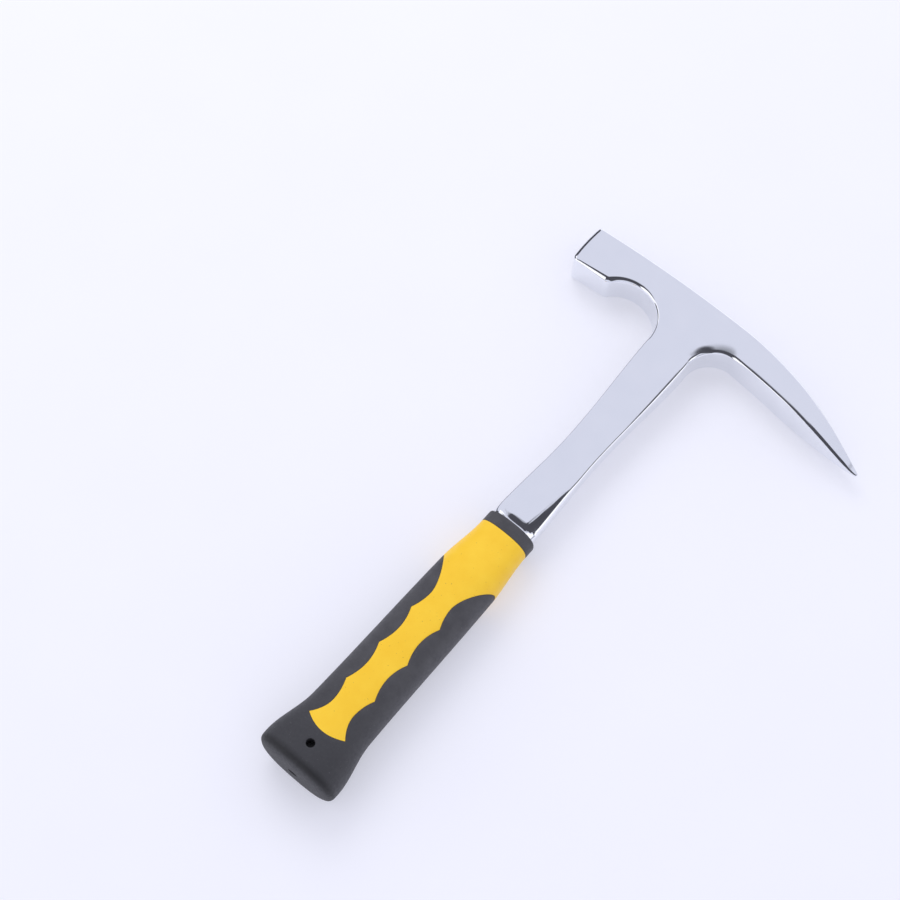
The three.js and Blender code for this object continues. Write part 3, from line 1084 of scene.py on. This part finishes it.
def add_surroundings():
    """A pale room. The polished steel also mirrors dark and bright cards that stand around it."""
    world = bpy.data.worlds.new("studio")
    bpy.context.scene.world = world
    world.use_nodes = True
    nodes, links = world.node_tree.nodes, world.node_tree.links
    direction = nodes.new("ShaderNodeTexCoord").outputs["Generated"]
    horizon = (0.30, 0.31, 0.35)
    ceiling = (0.75, 0.765, 0.885)
    dark = (0.07, 0.07, 0.085)
    middling = (0.34, 0.35, 0.40)
    bright = (1.25, 1.25, 1.3)
    cards = (
        # towards, half angle, soft edge, colour
        ((0.0, 0.0, 1.0), 79, 10, ceiling),
        ((0.10, -0.45, 0.88), 31, 14, middling),
        ((0.30, 0.12, 0.94), 9, 5, dark),
        ((0.35, -0.64, 0.68), 43, 3, dark),
        ((0.42, -0.90, -0.02), 30, 4, ceiling),
        ((-0.28, -0.34, 0.90), 14, 5, dark),
        ((-0.50, -0.74, 0.45), 25, 2, bright),
        ((-0.29, -0.93, 0.20), 11, 2, bright),
        ((-0.68, -0.08, 0.73), 14, 6, bright),
        ((-0.88, -0.32, 0.34), 17, 4, dark),
        ((-0.1, 0.88, 0.42), 23, 6, bright),
        ((-0.93, 0.36, 0.15), 24, 5, dark),
        ((0.70, 0.33, 0.63), 18, 5, dark),
        ((0.66, 0.08, 0.75), 14, 5, dark),
        ((0.93, 0.30, 0.22), 15, 6, bright),
    )
    colour = None
    for towards, half_angle, edge, card in cards:
        dot = nodes.new("ShaderNodeVectorMath")
        dot.operation = "DOT_PRODUCT"
        links.new(direction, dot.inputs[0])
        dot.inputs[1].default_value = Vector(towards).normalized()
        share = nodes.new("ShaderNodeMapRange")
        share.interpolation_type = "SMOOTHSTEP"
        share.inputs["From Min"].default_value = math.cos(math.radians(half_angle + edge / 2))
        share.inputs["From Max"].default_value = math.cos(math.radians(half_angle - edge / 2))
        links.new(dot.outputs["Value"], share.inputs["Value"])
        mix = nodes.new("ShaderNodeMix")
        mix.data_type = "RGBA"
        low, high = [socket for socket in mix.inputs if socket.type == "RGBA"]
        if colour is None:
            low.default_value = (*horizon, 1)
        else:
            links.new(colour, low)
        high.default_value = (*card, 1)
        links.new(share.outputs["Result"], mix.inputs["Factor"])
        colour = next(socket for socket in mix.outputs if socket.type == "RGBA")
    mirrored = nodes["Background"]
    links.new(colour, mirrored.inputs["Color"])
    room = nodes.new("ShaderNodeBackground")
    room.inputs["Color"].default_value = (0.84, 0.85, 0.94, 1)
    glossy = nodes.new("ShaderNodeLightPath").outputs["Is Glossy Ray"]
    choice = nodes.new("ShaderNodeMixShader")
    links.new(glossy, choice.inputs["Fac"])
    links.new(room.outputs["Background"], choice.inputs[1])
    links.new(mirrored.outputs["Background"], choice.inputs[2])
    links.new(choice.outputs["Shader"], nodes["World Output"].inputs["Surface"])


def add_lamp(name, towards, distance, size, power, colour):
    data = bpy.data.lights.new(name, "AREA")
    data.size = size
    data.energy = power
    data.color = colour
    lamp = bpy.data.objects.new(name, data)
    offset = Vector(towards).normalized() * distance
    lamp.location = place((0, 150, 0)) + offset
    lamp.rotation_euler = offset.to_track_quat("Z", "Y").to_euler()
    lamp.visible_glossy = False
    bpy.context.scene.collection.objects.link(lamp)


def add_camera():
    target = Vector((-0.0724, 0.0136, 0.0170))
    distance = 1.0609
    azimuth = math.radians(35.86)
    elevation = math.radians(67.01)
    roll = math.radians(-4.88)
    towards = Vector((
        math.cos(elevation) * math.sin(azimuth),
        -math.cos(elevation) * math.cos(azimuth),
        math.sin(elevation),
    ))
    data = bpy.data.cameras.new("camera")
    data.lens = 83.4
    camera = bpy.data.objects.new("camera", data)
    camera.location = target + towards * distance
    camera.rotation_mode = "QUATERNION"
    level = towards.to_track_quat("Z", "Y")
    camera.rotation_quaternion = level @ Quaternion((0, 0, 1), -roll)
    bpy.context.scene.collection.objects.link(camera)
    bpy.context.scene.camera = camera


steel = polished_steel()
yellow = yellow_plastic()
rubber = dark_rubber()
add_piece("polished_forging", forging_mesh(), steel, "forged_head_and_shank")
add_piece("yellow_hard_grip", hard_core_mesh(), yellow, "hard_grip_core")
add_piece("grey_soft_cover", soft_cover_mesh(), rubber, "soft_grip_cover")
add_piece("grey_collar", collar_mesh(), rubber, "collar_ring")
add_floor()
add_surroundings()
add_lamp("key", (-0.75, 0.45, 1.0), 1.6, 0.9, 6.5, (1.0, 0.99, 0.98))
add_camera()
bpy.context.scene.view_settings.view_transform = "Standard"
